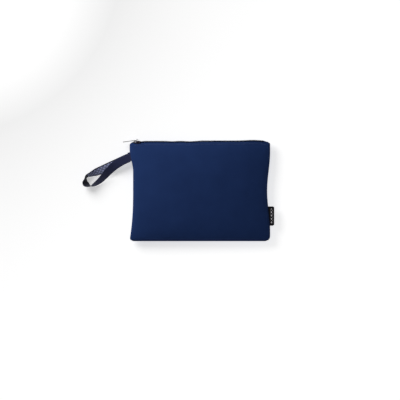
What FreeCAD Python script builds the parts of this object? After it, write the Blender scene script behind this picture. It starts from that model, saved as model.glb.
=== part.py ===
"""Travel document organizer: a lightly padded fabric pouch, zipped along its top edge, with a wrist strap.

The pouch lies on its back. X runs along the zip, Y from the bottom seam to the zip, Z up through the
thickness. The origin is the middle of the flat of the back panel, which rests on the table.
Each half of the pouch is three puffed layers, one inside the other: outer fabric, wadding and lining.
The halves meet at the seam plane, at half the thickness, and the front half swings up about the bottom
seam when the zip is open.
"""

import FreeCAD
import Part

import math
import os

import Sketcher

# Driving dimensions, in millimetres, degrees and plain shares.
SIZES = {
    "pouch_width": 240.0,
    "pouch_height": 170.0,
    "pouch_thickness": 26.0,
    "side_pull_in": 5.7,  # how far a filled side pulls in at its middle
    "corner_radius": 7.0,
    "edge_run": 22.0,  # distance from the seam in which a panel reaches its full height
    "edge_swell": 2.2,  # power of the rounded edge, 2 is an ellipse
    "corner_growth": 0.7,  # how much the corner radius grows with each millimetre of inset
    "outer_fabric": 0.9,
    "wadding": 2.0,
    "lining": 0.4,
    "layer_gap": 0.1,
    "seam_half_gap": 0.8,  # half the room between the two halves at the seam plane
    "part_clearance": 0.3,  # air between pieces that move past each other
    "cut_past": 1.0,  # how far a cut runs past what it trims
    "notch_room": 2.0,  # room beside the strap in the notches cut for it
    "mouth_depth": 4.2,  # from the outline's top down to the folded edges beside the zip
    "wadding_setback": 6.5,  # the wadding and the lining stop short of the folded edge
    "lining_setback": 1.5,
    "binding_reach": 8.0,  # seam binding: how far it reaches in from the outline
    "binding_inset": 0.6,
    "pocket_side_margin": 35.0,  # slip pocket on the back lining, from the outline's sides
    "pocket_low_margin": 29.0,
    "pocket_top_margin": 37.0,
    "pocket_cloth": 0.5,
    "card_width": 120.0,
    "card_height": 58.0,
    "hem_height": 8.0,
    "hem_cloth": 0.9,
    "tape_thickness": 0.5,
    "tape_margin": 4.5,  # from the outline's side to the end of the zip tapes
    "tape_end_slant": 16.0,  # length over which the tape narrows towards each end
    "tape_flat": 4.7,  # the tape is flat from the chain to here, so that the slider can pass
    "tape_sewn": 5.6,  # width sewn under the folded edge
    "tape_ease": 0.45,  # between the canvas's inner face and the tape sewn under it
    "chain_half_gap": 0.9,  # from the centre line to the inner edge of one tape
    "tape_drop": 2.0,  # the tape's level below the top of the outline
    "coil_pitch": 1.6,
    "coil_width": 2.9,  # from the centre line to the outer side of one coil
    "coil_thickness": 1.4,
    "coil_reach": 0.7,  # how far each element crosses the centre line
    "coil_play": 0.2,  # gap between interlocked elements
    "coil_margin": 14.0,  # from the outline's right side to the end of the coil
    "coil_lead": 1.0,  # from the slider's post to the first element
    "stop_length": 1.6,
    "stop_height": 1.4,
    "stop_inner": 0.5,  # a top stop's two sides, from the centre line
    "stop_outer": 2.8,
    "bottom_stop_length": 2.2,
    "end_tab_margin": 1.2,  # from the outline's side to the foot of an end tab
    "slider_length": 11.0,
    "slider_width": 8.6,
    "slider_tail": 7.4,
    "slider_plate": 0.8,
    "slider_lip": 0.9,
    "slider_post": 2.6,
    "slider_post_half": 0.6,
    "slider_post_inset": 0.3,
    "slider_nose_half": 1.6,  # half the width of the nose
    "slider_cheek": 1.6,  # distance from the nose to where it is as wide as the tail
    "slider_shoulder": 3.6,  # distance from the nose to its full width
    "slider_tail_cut": 0.8,
    "slider_margin": 12.6,  # from the outline's left side to the slider's middle with the zip closed
    "bridge_length": 5.0,
    "bridge_width": 1.8,
    "bridge_bar": 0.7,
    "bridge_leg": 1.0,  # thickness of its legs at the foot
    "bridge_chamfer": 0.9,
    "bridge_slope": 1.4,  # how far its inner leg leans
    "bridge_setback": 2.2,  # from the pivot back to the bridge's outer foot
    "pivot_setback": 0.4,  # from the slider's middle to the puller's pivot
    "bridge_room": 2.8,  # free height under the bridge
    "puller_length": 23.6,  # from the pivot to the tip
    "puller_width": 5.0,
    "puller_thickness": 1.0,
    "puller_window": 5.4,
    "puller_bead": 0.8,
    "puller_bead_length": 1.2,
    "puller_bead_slope": 0.4,
    "puller_tilt": 8.0,  # degrees below the zip's own line, pointing away from the slider
    "strap_width": 15.0,
    "strap_thickness": 0.9,
    "strap_slant": 0.92,  # cosine of the angle at which the strap leaves the seam
    "strap_seam_y": 58.2,
    "strap_seam_out": 1.4,  # how far outside the outline's corner width the strap's fold lies
    "strap_fold_room": 0.6,  # air between the strap's fold and its sewn ends
    "strap_sewn": 7.0,
    "strap_anchor_margin": 0.6,  # how much wider the sewn ends are than the strap, at each side
    "label_y": -42.9,
    "label_height": 33.0,
    "label_reach": 127.4,  # the label's folded edge, from the pouch's middle
    "label_sewn": 6.0,
    "label_cloth": 0.35,
    "label_bend": 0.3,
}

# Shares of the edge run at which a puffed panel has a level line.
LEVELS = (0.0, 0.06, 0.2, 0.45, 0.75, 1.0)

# The wrist strap's line from the seam along its lower run, round the tip and back along its upper run:
# x from the pouch's left corner, y from where the strap leaves the seam, height above the table as a share
# of the seam's height, and how far the band is rolled about its own line, in degrees.
STRAP_ROUTE = (
    (-7.5, -3.7, 0.8923, -5.0),
    (-15.7, -7.3, 0.8308, -10.0),
    (-31.7, -14.4, 0.6769, -18.0),
    (-47.7, -21.4, 0.5385, -27.0),
    (-57.0, -25.3, 0.4846, -36.0),
    (-66.9, -29.4, 0.5077, -50.0),
    (-73.6, -32.6, 0.5769, -66.0),
    (-77.8, -37.8, 0.6154, -76.0),
    (-79.2, -43.6, 0.5538, -62.0),
    (-76.6, -48.1, 0.5538, -64.0),
    (-70.6, -49.8, 0.6077, -84.0),
    (-63.4, -48.4, 0.6154, -104.0),
    (-53.2, -41.7, 0.6154, -124.0),
    (-44.1, -32.5, 0.6923, -131.0),
    (-35.6, -23.1, 0.8615, -141.0),
    (-26.2, -14.4, 1.0154, -154.0),
    (-15.7, -7.5, 1.0923, -168.0),
    (-7.5, -3.7, 1.1000, -175.0),
)

doc = FreeCAD.newDocument("document_pouch")
pieces = []
sheet = doc.addObject("Spreadsheet::Sheet", "Sheet")
for row, (alias, value) in enumerate(SIZES.items(), 1):
    sheet.set(f"A{row}", alias)
    sheet.set(f"B{row}", str(value))
    sheet.setAlias(f"B{row}", alias)
doc.recompute()


def size(text):
    """The value of an expression in the sheet's names."""
    value = sheet.evalExpression(text)
    return float(getattr(value, "Value", value))


def named(text):
    """The same expression as another object writes it, with Sheet. before each name."""
    words = {alias: f"Sheet.{alias}" for alias in SIZES}
    out, word = "", ""
    for letter in text + " ":
        if letter.isalnum() or letter == "_":
            word += letter
        else:
            out += words.get(word, word) + letter
            word = ""
    return out.strip()


# Places that several pieces share, as expressions.
TAPE_END = "(pouch_width / 2 - tape_margin)"
COIL_END = "(pouch_width / 2 - coil_margin)"
SLIDER_REST = "(slider_margin - pouch_width / 2)"
SEAM_Z = "(pouch_thickness / 2)"
CROWN = "(pouch_thickness / 2 - seam_half_gap)"
MOUTH_Y = "(pouch_height / 2 - mouth_depth)"
TAPE_Y = "(pouch_height / 2 - tape_drop)"
COIL_Y = f"({TAPE_Y} + tape_thickness / 2 + layer_gap / 2)"
PLATE_LOW_Y = f"({TAPE_Y} - tape_thickness / 2 - part_clearance)"
PLATE_HIGH_Y = f"({COIL_Y} + coil_thickness + part_clearance)"
PIVOT_X = f"({SLIDER_REST} - pivot_setback)"
PIVOT_Y = f"({PLATE_HIGH_Y} + slider_plate + bridge_room / 2)"
LINING_TOP = "(outer_fabric + wadding + 2 * layer_gap)"
INSIDE = f"({LINING_TOP} + lining)"


def new_piece(kind, label):
    """One named piece of the pouch, which gets a file of its own."""
    piece = doc.addObject(kind, label)
    piece.Label = label
    pieces.append(piece)
    return piece


def new_body(label):
    return new_piece("PartDesign::Body", label)


def plane(body, role):
    """One of the body's own origin planes."""
    return next(f for f in body.Origin.OriginFeatures if f.Role == role)


def new_sketch(body, name, role="XY_Plane", height="0"):
    """An empty sketch on an origin plane of its body, lifted along the plane's normal."""
    sketch = body.newObject("Sketcher::SketchObject", name)
    sketch.AttachmentSupport = (plane(body, role), [""])
    sketch.MapMode = "FlatFace"
    sketch.setExpression("AttachmentOffset.Base.z", named(height))
    return sketch


def pin_down(sketch, geometry, point, x, y):
    """Ties a point of the sketch to the origin by two expressions."""
    for kind, text in (("DistanceX", x), ("DistanceY", y)):
        value = size(text)
        if abs(value) < 1e-9:
            axis = -2 if kind == "DistanceX" else -1
            sketch.addConstraint(Sketcher.Constraint("PointOnObject", geometry, point, axis))
            continue
        ends = (-1, 1, geometry, point) if value > 0 else (geometry, point, -1, 1)
        number = sketch.addConstraint(Sketcher.Constraint(kind, *ends, abs(value)))
        text = text if value > 0 else f"-({text})"
        sketch.setExpression(f"Constraints[{number}]", named(text))


def polygon(sketch, corners):
    """A closed outline of straight edges; each corner is a pair of expressions."""
    points = [FreeCAD.Vector(size(x), size(y), 0) for x, y in corners]
    first = sketch.GeometryCount
    for start, end in zip(points, points[1:] + points[:1]):
        sketch.addGeometry(Part.LineSegment(start, end))
    for k, (x, y) in enumerate(corners):
        before = first + (k - 1) % len(corners)
        sketch.addConstraint(Sketcher.Constraint("Coincident", before, 2, first + k, 1))
        pin_down(sketch, first + k, 1, x, y)


def rectangle(sketch, low_x, high_x, low_y, high_y):
    polygon(sketch, [(low_x, low_y), (high_x, low_y), (high_x, high_y), (low_x, high_y)])


def pad(body, sketch, length, name="Pad", middle=False, back=False):
    feature = body.newObject("PartDesign::Pad", name)
    feature.Profile = sketch
    feature.setExpression("Length", named(length))
    feature.Midplane = middle
    feature.Reversed = back
    return feature


def pocket(body, sketch, length=None, name="Pocket", middle=False, back=False):
    """A cut of that depth, or right through both ways where no depth is given."""
    feature = body.newObject("PartDesign::Pocket", name)
    feature.Profile = sketch
    if length is None:
        feature.Type = "ThroughAll"
        feature.Midplane = True
    else:
        feature.setExpression("Length", named(length))
        feature.Midplane = middle
        feature.Reversed = back
    return feature


def level_line(body, name, inset, height):
    """One level line of a puffed panel: straight top and bottom, sides that pull in, round corners."""
    sketch = new_sketch(body, name, height=height)
    half_x = f"(pouch_width / 2 - ({inset}))"
    half_y = f"(pouch_height / 2 - ({inset}))"
    corner = f"(corner_radius + corner_growth * ({inset}))"
    side = f"({half_y} - {corner})"
    sweep = f"(({side} ^ 2 + side_pull_in ^ 2) / (2 * side_pull_in))"
    x, y, r, bow = size(half_x), size(half_y), size(corner), size(sweep)
    up = FreeCAD.Vector(0, 0, 1)

    def arc(cx, cy, radius, start, end):
        ring = Part.Circle(FreeCAD.Vector(cx, cy, 0), up, radius)
        return Part.ArcOfCircle(ring, math.radians(start), math.radians(end))

    half_turn = math.degrees(math.asin((y - r) / bow))
    pull = size("side_pull_in")
    sketch.addGeometry(
        [
            Part.LineSegment(FreeCAD.Vector(r - x, -y, 0), FreeCAD.Vector(x - r, -y, 0)),
            arc(x - r, r - y, r, -90, 0),
            arc(x - pull + bow, 0, bow, 180 - half_turn, 180 + half_turn),
            arc(x - r, y - r, r, 0, 90),
            Part.LineSegment(FreeCAD.Vector(x - r, y, 0), FreeCAD.Vector(r - x, y, 0)),
            arc(r - x, y - r, r, 90, 180),
            arc(pull - x - bow, 0, bow, -half_turn, half_turn),
            arc(r - x, r - y, r, 180, 270),
        ]
    )
    corners = {1: ("", "-", 1, 2), 3: ("", "", 2, 1), 5: ("-", "", 1, 2), 7: ("-", "-", 2, 1)}
    for number, (sign_x, sign_y, flat_end, side_end) in corners.items():
        pin_down(sketch, number, 3, f"{sign_x}({half_x} - {corner})", f"{sign_y}{side}")
        sketch.addConstraint(Sketcher.Constraint("Vertical", number, 3, number, flat_end))
        sketch.addConstraint(Sketcher.Constraint("Horizontal", number, 3, number, side_end))
        bound = sketch.addConstraint(Sketcher.Constraint("Radius", number, r))
        sketch.setExpression(f"Constraints[{bound}]", named(corner))
    joins = ((0, 1, 7, 2), (0, 2, 1, 1), (4, 1, 3, 2), (4, 2, 5, 1))
    joins += ((2, 2, 1, 2), (2, 1, 3, 1), (6, 2, 5, 2), (6, 1, 7, 1))
    for a, end_a, b, end_b in joins:
        sketch.addConstraint(Sketcher.Constraint("Coincident", a, end_a, b, end_b))
    for number in (2, 6):
        bound = sketch.addConstraint(Sketcher.Constraint("Radius", number, bow))
        sketch.setExpression(f"Constraints[{bound}]", named(sweep))
    return sketch


def rise(share):
    """How high a puffed panel stands at a share of its edge run, as an expression, 0 to 1."""
    return f"((1 - (1 - {share}) ^ edge_swell) ^ (1 / edge_swell))"


def puffed(body, name, offset, side, kind):
    """The solid under a puffed surface that lies offset inside the outer one, added or taken away."""
    lines = []
    for k, share in enumerate(LEVELS):
        lift = f"(seam_half_gap + ({CROWN} - ({offset})) * {rise(share)})"
        height = f"{SEAM_Z} {side} {lift}"
        lines.append(level_line(body, f"{name}_{k}", f"({offset}) + edge_run * {share}", height))
    loft = body.newObject(f"PartDesign::{kind}Loft", name)
    loft.Profile = lines[0]
    loft.Sections = lines[1:]
    loft.Ruled = True
    return loft


def puffed_layer(label, outside, thickness, side, top_y):
    """One layer of one half of the pouch, open at the seam plane and at the mouth."""
    body = new_body(label)
    puffed(body, "Skin", outside, side, "Additive")
    puffed(body, "Hollow", f"({outside}) + {thickness}", side, "Subtractive")
    mouth = new_sketch(body, "MouthEdge")
    rectangle(mouth, "-pouch_width", "pouch_width", top_y, "pouch_height")
    pocket(body, mouth, name="Mouth")
    notch = new_sketch(body, "StrapNotch", height=SEAM_Z)
    rectangle(
        notch,
        "-pouch_width / 2 - cut_past",
        "-pouch_width / 2 + strap_sewn + cut_past",
        "strap_seam_y - strap_width / 2 - notch_room",
        "strap_seam_y + strap_width / 2 + notch_room",
    )
    pocket(body, notch, "seam_half_gap + strap_thickness + part_clearance", back=side == "+")
    return body


def make_panels():
    """The three layers of the back half and of the front half."""
    setback = {
        "outer_panel": ("0", "outer_fabric", MOUTH_Y),
        "padding": ("outer_fabric + layer_gap", "wadding", f"{MOUTH_Y} - wadding_setback"),
        "lining": (LINING_TOP, "lining", f"{MOUTH_Y} - lining_setback"),
    }
    for half, side in (("back", "-"), ("front", "+")):
        for layer, (outside, thickness, top_y) in setback.items():
            puffed_layer(f"{half}_{layer}", outside, thickness, side, top_y)


def make_seam_binding():
    """Tape bound over the joined edges inside the seam, open along the mouth, notched for strap and label."""
    body = new_body("seam_binding")
    half = "(seam_half_gap - part_clearance)"
    outside = level_line(body, "Outside", "binding_inset", f"{SEAM_Z} - {half}")
    pad(body, outside, f"2 * {half}")
    inside = level_line(body, "Inside", "binding_reach", f"{SEAM_Z} - {half}")
    pocket(body, inside, f"2 * {half}", "Middle", back=True)
    mouth = new_sketch(body, "MouthEdge")
    rectangle(mouth, "-pouch_width", "pouch_width", f"{MOUTH_Y} - wadding_setback", "pouch_height")
    pocket(body, mouth, name="Mouth")
    strap = new_sketch(body, "StrapNotch")
    rectangle(
        strap,
        "-pouch_width",
        "-pouch_width / 2 + binding_reach + side_pull_in + cut_past",
        "strap_seam_y - strap_width / 2 - notch_room",
        "strap_seam_y + strap_width / 2 + notch_room",
    )
    pocket(body, strap, name="StrapGap")
    label = new_sketch(body, "LabelNotch")
    rectangle(
        label,
        "pouch_width / 2 - binding_reach - side_pull_in - cut_past",
        "pouch_width",
        "label_y - label_height / 2 - part_clearance",
        "label_y + label_height / 2 + part_clearance",
    )
    pocket(body, label, name="LabelGap")


def flat_cloth(label, width, low_y, high_y, low_z, thickness):
    """A flat piece of cloth, centred on the pouch's width."""
    body = new_body(label)
    sketch = new_sketch(body, "Cut", height=low_z)
    rectangle(sketch, f"-{width} / 2", f"{width} / 2", low_y, high_y)
    pad(body, sketch, thickness)


def make_pockets():
    """Slip pocket for a passport and papers on the back lining, and a card pocket in front of it."""
    floor = f"({INSIDE} + layer_gap)"
    width = "(pouch_width - 2 * pocket_side_margin)"
    low = "(-pouch_height / 2 + pocket_low_margin)"
    top = "(pouch_height / 2 - pocket_top_margin)"
    cloth = f"({floor} + pocket_cloth + layer_gap)"
    card_top = f"({low} + card_height)"
    card = f"({cloth} + pocket_cloth + layer_gap)"
    flat_cloth("slip_pocket", width, low, top, floor, "pocket_cloth")
    flat_cloth("slip_pocket_hem", width, f"{top} - hem_height", top, cloth, "hem_cloth")
    flat_cloth("card_pocket", "card_width", low, card_top, cloth, "pocket_cloth")
    flat_cloth("card_pocket_hem", "card_width", f"{card_top} - hem_height", card_top, card, "hem_cloth")


def make_tape(label, side):
    """Woven zip tape: flat beside the coil, then down to the folded edge and under it."""
    body = new_body(label)
    level = "(outer_fabric + tape_ease + tape_thickness)"
    fold_y = f"({MOUTH_Y} + part_clearance)"
    sewn_y = f"({MOUTH_Y} - tape_sewn)"
    under = f"(seam_half_gap + ({CROWN} - {level}) * "
    fold = under + rise(f"((pouch_height / 2 - {level} - {fold_y}) / edge_run)") + ")"
    sewn = under + rise(f"((pouch_height / 2 - {level} - {sewn_y}) / edge_run)") + ")"
    half = "tape_thickness / 2"
    line = [(TAPE_Y, "chain_half_gap"), (TAPE_Y, "tape_flat"), (fold_y, fold), (sewn_y, sewn)]
    outer = [(f"{y} + {half}", z) for y, z in line[:2]] + [(y, f"{z} + {half}") for y, z in line[2:]]
    inner = [(f"{y} - {half}", z) for y, z in line[:2]] + [(y, f"{z} - {half}") for y, z in line[2:]]
    corners = [(y, f"{SEAM_Z} {side} ({z})") for y, z in outer + inner[::-1]]
    sketch = new_sketch(body, "Section", "YZ_Plane")
    polygon(sketch, corners)
    pad(body, sketch, f"2 * {TAPE_END}", middle=True)
    for end, sign in (("Left", "-"), ("Right", "")):
        slant = new_sketch(body, f"{end}Slant")
        level_y = f"({TAPE_Y} - tape_thickness)"
        inner = f"{sign}({TAPE_END} - tape_end_slant)"
        outer = f"{sign}({TAPE_END} + cut_past)"
        below = f"({sewn_y} - cut_past)"
        corners = [(outer, level_y), (inner, sewn_y), (inner, below), (outer, below)]
        polygon(slant, corners if sign else corners[::-1])
        pocket(body, slant, name=f"{end}SlantCut")


def make_coil(label, side, first):
    """One side of the zip's coil, as a comb whose elements stand between those of the other side.

    A comb of this many elements is one closed wire from a loop, so it is a Part::Feature.
    """
    pitch = size("coil_pitch")
    thick = pitch / 2 - size("coil_play")
    start = size(f"{SLIDER_REST} - slider_length / 2 + slider_post + coil_lead")
    spine, back, tip = size("coil_reach + coil_play"), size("coil_width"), -size("coil_reach")
    reach = []
    at = start + first * pitch
    while at + thick < size(COIL_END):
        reach += [(at, spine), (at, tip), (at + thick, tip), (at + thick, spine)]
        at += pitch
    ends = [(size(COIL_END), spine), (size(COIL_END), back), (start, back), (start, spine)]
    y, middle = size(COIL_Y), size(SEAM_Z)
    points = [FreeCAD.Vector(x, y, middle + side * z) for x, z in reach + ends]
    points = [p for p, q in zip(points, points[1:] + points[:1]) if (p - q).Length > 1e-6]
    face = Part.Face(Part.makePolygon(points + points[:1]))
    coil = new_piece("Part::Feature", label)
    coil.Shape = face.extrude(FreeCAD.Vector(0, size("coil_thickness"), 0))


def block(box, low, high):
    """Stretches a Part::Box between two corners given as expressions."""
    for axis, side, a, b in zip("xyz", ("Length", "Width", "Height"), low, high):
        box.setExpression(side, named(f"({b}) - ({a})"))
        box.setExpression(f"Placement.Base.{axis}", named(a))
    return box


def make_stops():
    """The stops that keep the slider on the chain: two at the closed end, one across the open end."""
    nose = f"({SLIDER_REST} - slider_length / 2 - part_clearance)"
    top = f"({COIL_Y} + stop_height)"
    pair = []
    sides = (("LowStop", "-stop_outer", "-stop_inner"), ("HighStop", "stop_inner", "stop_outer"))
    for name, low, high in sides:
        corner = (f"{nose} - stop_length", COIL_Y, f"{SEAM_Z} + {low}")
        pair.append(block(doc.addObject("Part::Box", name), corner, (nose, top, f"{SEAM_Z} + {high}")))
    new_piece("Part::Compound", "top_stops").Links = pair
    start = f"({COIL_END} + part_clearance)"
    block(
        new_piece("Part::Box", "bottom_stop"),
        (start, COIL_Y, f"{SEAM_Z} - coil_width"),
        (f"{start} + bottom_stop_length", top, f"{SEAM_Z} + coil_width"),
    )


def make_end_tabs():
    """Tabs of outer fabric that close the two ends of the zip, sloping down to the side seams."""
    for label, sign, back in (("left_end_tab", "-", False), ("right_end_tab", "", False)):
        body = new_body(label)
        sketch = new_sketch(body, "Side", height=f"{SEAM_Z} - tape_flat")
        inner = f"({TAPE_END} + part_clearance)"
        low = f"({MOUTH_Y} + part_clearance)"
        corners = [(inner, low), ("(pouch_width / 2 - end_tab_margin)", low), (inner, TAPE_Y)]
        corners = [(f"{sign}{x}", y) for x, y in corners]
        polygon(sketch, corners if sign == "" else corners[::-1])
        pad(body, sketch, "2 * tape_flat", back=back)


def make_slider():
    """Slider body: two plates joined by the post at the nose, with lips that hold the coil."""
    body = new_body("slider_body")
    nose = f"({SLIDER_REST} - slider_length / 2)"
    tail = f"({SLIDER_REST} + slider_length / 2)"
    cheek, shoulder = f"({nose} + slider_cheek)", f"({nose} + slider_shoulder)"
    hip = f"({tail} - slider_tail_cut)"
    wide, narrow = "(slider_width / 2)", "(slider_tail / 2)"
    shield = [
        (cheek, f"{SEAM_Z} - {narrow}"),
        (shoulder, f"{SEAM_Z} - {wide}"),
        (hip, f"{SEAM_Z} - {wide}"),
        (tail, f"{SEAM_Z} - {narrow}"),
        (tail, f"{SEAM_Z} + {narrow}"),
        (hip, f"{SEAM_Z} + {wide}"),
        (shoulder, f"{SEAM_Z} + {wide}"),
        (cheek, f"{SEAM_Z} + {narrow}"),
        (nose, f"{SEAM_Z} + slider_nose_half"),
        (nose, f"{SEAM_Z} - slider_nose_half"),
    ]
    # The XZ plane's normal points along -Y, so heights along it are negative.
    low = new_sketch(body, "LowPlate", "XZ_Plane", f"-{PLATE_LOW_Y}")
    polygon(low, shield)
    pad(body, low, "slider_plate", "LowPlatePad")
    post = new_sketch(body, "Post", "XZ_Plane", f"-{PLATE_LOW_Y} + layer_gap")
    corners = [
        (f"{nose} + slider_post_inset", SEAM_Z),
        (f"{nose} + slider_post / 2", f"{SEAM_Z} - slider_post_half"),
        (f"{nose} + slider_post", SEAM_Z),
        (f"{nose} + slider_post / 2", f"{SEAM_Z} + slider_post_half"),
    ]
    polygon(post, corners)
    pad(body, post, f"{PLATE_HIGH_Y} - {PLATE_LOW_Y} + 2 * layer_gap", "PostPad", back=True)
    high = new_sketch(body, "HighPlate", "XZ_Plane", f"-{PLATE_HIGH_Y}")
    polygon(high, shield)
    pad(body, high, "slider_plate", "HighPlatePad", back=True)
    for k, sign in enumerate("-+"):
        lip = new_sketch(body, f"Lip{k}", "XZ_Plane", f"-{PLATE_HIGH_Y} - layer_gap")
        near, far = f"{SEAM_Z} {sign} ({wide} - slider_lip)", f"{SEAM_Z} {sign} {wide}"
        polygon(lip, [(shoulder, near), (hip, near), (hip, far), (shoulder, far)])
        drop = f"{PLATE_HIGH_Y} - {TAPE_Y} - tape_thickness / 2 - part_clearance + layer_gap"
        pad(body, lip, drop, f"LipPad{k}")


def make_bridge():
    """The arch crimped to the slider's top plate, which the puller hangs in."""
    body = new_body("slider_bridge")
    sketch = new_sketch(body, "Arch", height=f"{SEAM_Z} - bridge_width / 2")
    left = f"({PIVOT_X} - bridge_setback)"
    right = f"({left} + bridge_length)"
    foot = f"({PLATE_HIGH_Y} + slider_plate)"
    ceiling = f"({foot} + bridge_room)"
    roof = f"({ceiling} + bridge_bar)"
    polygon(
        sketch,
        [
            (left, foot),
            (f"{left} + bridge_leg", foot),
            (f"{left} + bridge_leg", f"{ceiling} - bridge_chamfer"),
            (f"{left} + bridge_leg + bridge_chamfer", ceiling),
            (f"{right} - bridge_leg - bridge_slope", ceiling),
            (f"{right} - bridge_leg", foot),
            (right, foot),
            (f"{right} - bridge_slope", roof),
            (f"{left} + bridge_chamfer", roof),
            (left, f"{roof} - bridge_chamfer"),
        ],
    )
    pad(body, sketch, "bridge_width")


def make_puller():
    """Flat metal tab with a window for the bridge; its end bar turns under the arch."""
    body = new_body("puller")
    sketch = new_sketch(body, "Side", height=f"{SEAM_Z} - puller_width / 2")
    half = "(puller_thickness / 2)"
    bead = "(puller_thickness / 2 + puller_bead / 2)"
    bead_end = "(-puller_length + puller_bead_length)"
    bead_foot = f"({bead_end} + puller_bead_slope)"
    polygon(
        sketch,
        [
            (half, f"-{half}"),
            (half, half),
            (bead_foot, half),
            (bead_end, bead),
            ("-puller_length", bead),
            ("-puller_length", f"-{bead}"),
            (bead_end, f"-{bead}"),
            (bead_foot, f"-{half}"),
        ],
    )
    pad(body, sketch, "puller_width")
    window = new_sketch(body, "Window", "XZ_Plane", "-puller_thickness")
    side = "(bridge_width / 2 + part_clearance)"
    rectangle(window, f"-{half} - puller_window", f"-{half}", f"{SEAM_Z} - {side}", f"{SEAM_Z} + {side}")
    pocket(body, window, name="WindowCut")
    body.setExpression("Placement.Base.x", named(PIVOT_X))
    body.setExpression("Placement.Base.y", named(PIVOT_Y))
    body.Placement.Rotation = FreeCAD.Rotation(FreeCAD.Vector(0, 0, 1), size("puller_tilt"))


def strap_axis():
    """Where the strap swings: just outside the left side seam, along Y, at the seam plane."""
    x = size("-pouch_width / 2 - strap_seam_out")
    return FreeCAD.Vector(x, size("strap_seam_y"), size(SEAM_Z))


def band_section(middle, across, normal, width, thick):
    """A closed rectangle, width along across and thick along normal."""
    a, n = across * (width / 2), normal * (thick / 2)
    corners = [middle + a + n, middle - a + n, middle - a - n, middle + a - n]
    return Part.makePolygon(corners + corners[:1])


def make_strap():
    """The wrist strap: one length of webbing in a loop, both ends meeting at the fold by the side seam.

    Its band turns and rolls as it goes, so it is a loft of rectangles and a Part::Feature.
    """
    width, thick = size("strap_width"), size("strap_thickness")
    axis = strap_axis()
    left, seam_y = -size("pouch_width") / 2, size("strap_seam_y")
    route = []
    for x, y, share, degrees in STRAP_ROUTE:
        z = share * axis.z
        roll = math.radians(degrees)
        lowest = width / 2 * abs(math.sin(roll)) + thick / 2 * abs(math.cos(roll))
        route.append((FreeCAD.Vector(left + x, seam_y + y, max(z, lowest + size("layer_gap"))), roll))
    gap = (thick + size("layer_gap")) / 2
    up, along_y = FreeCAD.Vector(0, 0, 1), FreeCAD.Vector(0, 1, 0)
    slant = width / size("strap_slant")
    sections = [band_section(axis - up * gap, along_y * -1, up, slant, thick)]
    for k, (middle, roll) in enumerate(route):
        before = route[k - 1][0] if k else axis - up * gap
        after = route[k + 1][0] if k + 1 < len(route) else axis + up * gap
        ahead = (after - before).normalize()
        level = up.cross(ahead).normalize()
        across = level * math.cos(roll) + up * math.sin(roll)
        across = (across - ahead * across.dot(ahead)).normalize()
        sections.append(band_section(middle, across, ahead.cross(across), width, thick))
    sections.append(band_section(axis + up * gap, along_y * -1, up * -1, slant, thick))
    loop = Part.makeLoft(sections, True, True)
    start = axis - along_y * (slant / 2)
    fold = Part.makeCylinder(thick + size("layer_gap") / 2, slant, start, along_y)
    strap = new_piece("Part::Feature", "wrist_strap")
    strap.Shape = loop.fuse(fold).removeSplitter()


def make_strap_anchor():
    """The strap's two ends where they are sewn between the halves of the side seam."""
    near = "(-pouch_width / 2 - strap_seam_out + strap_thickness + layer_gap / 2 + strap_fold_room)"
    half = "(strap_thickness + layer_gap / 2)"
    half_width = "(strap_width / 2 + strap_anchor_margin)"
    block(
        new_piece("Part::Box", "strap_anchor"),
        (near, f"strap_seam_y - {half_width}", f"{SEAM_Z} - {half}"),
        (f"{near} + strap_sewn", f"strap_seam_y + {half_width}", f"{SEAM_Z} + {half}"),
    )


def make_label():
    """Woven side label: a ribbon folded once, its ends caught in the right side seam."""
    body = new_body("side_label")
    outer = "(label_cloth + layer_gap)"
    inner = "(pouch_width / 2 - side_pull_in - label_sewn)"
    sketch = new_sketch(body, "Fold", "XZ_Plane", "-(label_y - label_height / 2)")
    corners = [
        (inner, f"{SEAM_Z} - {outer}"),
        ("label_reach - label_bend", f"{SEAM_Z} - {outer}"),
        ("label_reach", f"{SEAM_Z} - layer_gap"),
        ("label_reach", f"{SEAM_Z} + layer_gap"),
        ("label_reach - label_bend", f"{SEAM_Z} + {outer}"),
        (inner, f"{SEAM_Z} + {outer}"),
        (inner, f"{SEAM_Z} + layer_gap"),
        ("label_reach - label_cloth", f"{SEAM_Z} + layer_gap"),
        ("label_reach - label_cloth", f"{SEAM_Z} - layer_gap"),
        (inner, f"{SEAM_Z} - layer_gap"),
    ]
    polygon(sketch, corners)
    pad(body, sketch, "label_height", back=True)


make_panels()
make_seam_binding()
make_pockets()
make_tape("back_zip_tape", "-")
make_tape("front_zip_tape", "+")
make_coil("back_coil", -1, 0.0)
make_coil("front_coil", 1, 0.5)
make_stops()
make_end_tabs()
make_slider()
make_bridge()
make_puller()
make_strap()
make_strap_anchor()
make_label()
doc.recompute()

for item in doc.Objects:
    if "Invalid" in item.State or "Error" in item.State:
        raise RuntimeError(f"{item.Label} failed to build: {item.State}")
os.makedirs("parts", exist_ok=True)
for item in pieces:
    if item.Shape.isNull() or not item.Shape.isValid() or not item.Shape.Solids:
        raise RuntimeError(f"{item.Label} has no valid solid")
    item.Shape.exportStep(f"parts/{item.Label}.step")
    print(f"{item.Label}: {item.Shape.Volume:.1f} mm3, {len(item.Shape.Solids)} solids")
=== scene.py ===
"""Travel document pouch: the sewn, padded and woven pieces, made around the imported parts."""

import math

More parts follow.
